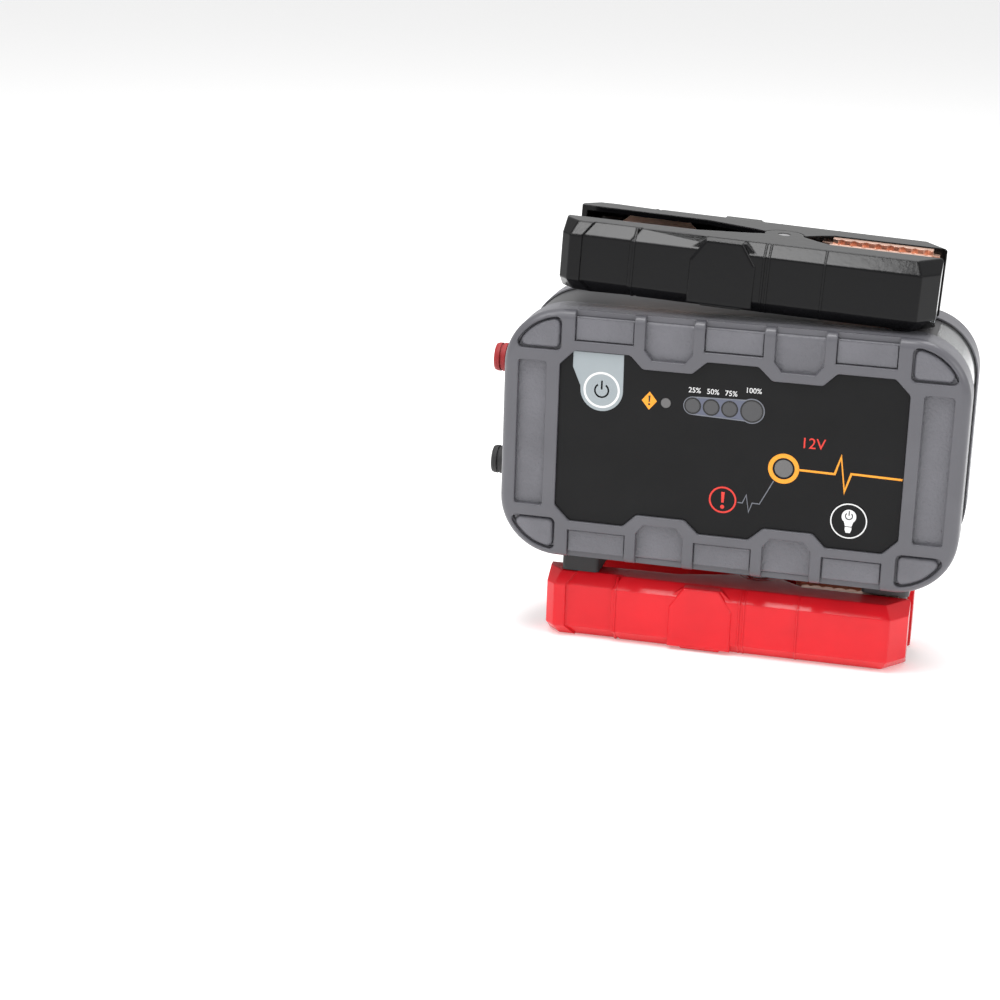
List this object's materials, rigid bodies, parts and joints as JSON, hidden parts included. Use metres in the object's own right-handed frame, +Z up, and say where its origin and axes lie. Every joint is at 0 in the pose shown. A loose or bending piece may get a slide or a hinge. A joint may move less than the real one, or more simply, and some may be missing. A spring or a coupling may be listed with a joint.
{
  "type": "jump starter pack",
  "caption": "Portable jump starter pack: ribbed housing with label and buttons, end lamp, port bay, and a black and a red jaw clamp docked above and below it.",
  "frame": {"origin": "under the middle of the whole pack, in the plane of the lower clamp's underside", "axes": "+X towards the lamp end, +Y away from the label, +Z up"},
  "size_m": [0.203, 0.066, 0.1811],
  "materials": {
    "frame_grey": "satin",
    "shell_grey": "fine grain",
    "label_black": "satin",
    "band_grey": "satin",
    "seal_black": "matte",
    "button_grey": "satin",
    "button_dark": "satin",
    "lamp_clear": "polished",
    "lens_clear": "polished",
    "reflector_chrome": "polished",
    "led_yellow": "polished",
    "board_green": "satin",
    "component_black": "matte",
    "relay_black": "satin",
    "cell_foil": "satin",
    "tray_black": "satin",
    "copper": "satin",
    "gland_rubber": "matte",
    "gland_red": "matte",
    "port_black": "satin",
    "socket_steel": "brushed",
    "steel": "brushed",
    "cover_rubber": "matte",
    "dock_grey": "satin",
    "clamp_black": "polished",
    "clamp_red": "polished"
  },
  "bodies": {
    "housing": {"battery_cells": "cell_foil", "board_components": "component_black", "board_screws": "steel", "button_board": "board_green", "button_switches": "component_black", "case_screws": "steel", "case_seals": "seal_black", "cell_tray": "tray_black", "control_board": "board_green", "dc_socket": "port_black", "front_bumper_frame": "frame_grey", "front_shell": "shell_grey", "indicator_lamps": "lamp_clear", "indicator_leds": "led_yellow", "label_panel": "label_black", "light_board": "board_green", "light_emitters": "led_yellow", "light_lens": "lens_clear", "light_reflector": "reflector_chrome", "lower_dock_block": "dock_grey", "lower_dock_post": "dock_grey", "lower_rest_pad": "cover_rubber", "middle_band": "band_grey", "negative_busbar": "copper", "negative_gland": "gland_rubber", "port_block": "port_black", "port_cover_pin": "steel", "positive_busbar": "copper", "positive_gland": "gland_red", "power_relay": "relay_black", "rear_bumper_frame": "frame_grey", "rear_plate": "shell_grey", "rear_shell": "shell_grey", "upper_dock_post": "dock_grey", "usb_in_socket": "socket_steel", "usb_out_socket": "socket_steel"},
    "power_button": {"power_button": "button_grey"},
    "override_button": {"override_button": "button_dark"},
    "light_button": {"light_button": "button_dark"},
    "port_cover": {"port_cover": "cover_rubber"},
    "black_clamp": {"black_clamp_pivot_pin": "steel", "black_clamp_spring": "steel"},
    "black_front_half": {"black_clamp_front_handle": "clamp_black", "black_clamp_front_jaw": "copper"},
    "black_rear_half": {"black_clamp_rear_handle": "clamp_black", "black_clamp_rear_jaw": "copper", "black_clamp_lead_lug": "copper"},
    "red_clamp": {"red_clamp_pivot_pin": "steel", "red_clamp_spring": "steel"},
    "red_front_half": {"red_clamp_front_handle": "clamp_red", "red_clamp_front_jaw": "copper", "red_clamp_lead_lug": "copper"},
    "red_rear_half": {"red_clamp_rear_handle": "clamp_red", "red_clamp_rear_jaw": "copper"}
  },
  "joints": [
    {"name": "power_button_press", "type": "slide", "parent": "housing", "child": "power_button", "axis": [0, 1, 0], "range_m": [0, 0.0008], "stiffness_N_per_m": 1500, "springref_m": -0.0004},
    {"name": "override_button_press", "type": "slide", "parent": "housing", "child": "override_button", "axis": [0, 1, 0], "range_m": [0, 0.0008], "stiffness_N_per_m": 1500, "springref_m": -0.0004},
    {"name": "light_button_press", "type": "slide", "parent": "housing", "child": "light_button", "axis": [0, 1, 0], "range_m": [0, 0.0008], "stiffness_N_per_m": 1500, "springref_m": -0.0004},
    {"name": "port_cover_open", "type": "hinge", "parent": "housing", "child": "port_cover", "pos_m": [-0.0912, 0, 0.1058], "axis": [0, 1, 0], "range_deg": [0, 85]},
    {"name": "black_clamp_undock", "type": "slide", "parent": "housing", "child": "black_clamp", "axis": [0, 0, 1], "range_m": [0, 0.04]},
    {"name": "black_front_squeeze", "type": "hinge", "parent": "black_clamp", "child": "black_front_half", "pos_m": [0.0175, 0, 0.14858], "axis": [-0.0436, 0, -0.999], "range_deg": [0, 7.8], "stiffness_Nm_per_rad": 8, "springref_deg": -2.86},
    {"name": "black_rear_squeeze", "type": "hinge", "parent": "black_clamp", "child": "black_rear_half", "pos_m": [0.0175, 0, 0.14858], "axis": [0.0436, 0, 0.999], "range_deg": [0, 7.8], "stiffness_Nm_per_rad": 8, "springref_deg": -2.86},
    {"name": "red_clamp_undock", "type": "slide", "parent": "housing", "child": "red_clamp", "axis": [0, 0, -1], "range_m": [0, 0.04]},
    {"name": "red_front_squeeze", "type": "hinge", "parent": "red_clamp", "child": "red_front_half", "pos_m": [0.0175, 0, 0.0287], "axis": [0, 0, -1], "range_deg": [0, 7.8], "stiffness_Nm_per_rad": 8, "springref_deg": -2.86},
    {"name": "red_rear_squeeze", "type": "hinge", "parent": "red_clamp", "child": "red_rear_half", "pos_m": [0.0175, 0, 0.0287], "axis": [0, 0, 1], "range_deg": [0, 7.8], "stiffness_Nm_per_rad": 8, "springref_deg": -2.86}
  ],
  "couplings": [
    {"joint": "black_rear_squeeze", "follows": "black_front_squeeze", "ratio": 1},
    {"joint": "red_rear_squeeze", "follows": "red_front_squeeze", "ratio": 1}
  ]
}
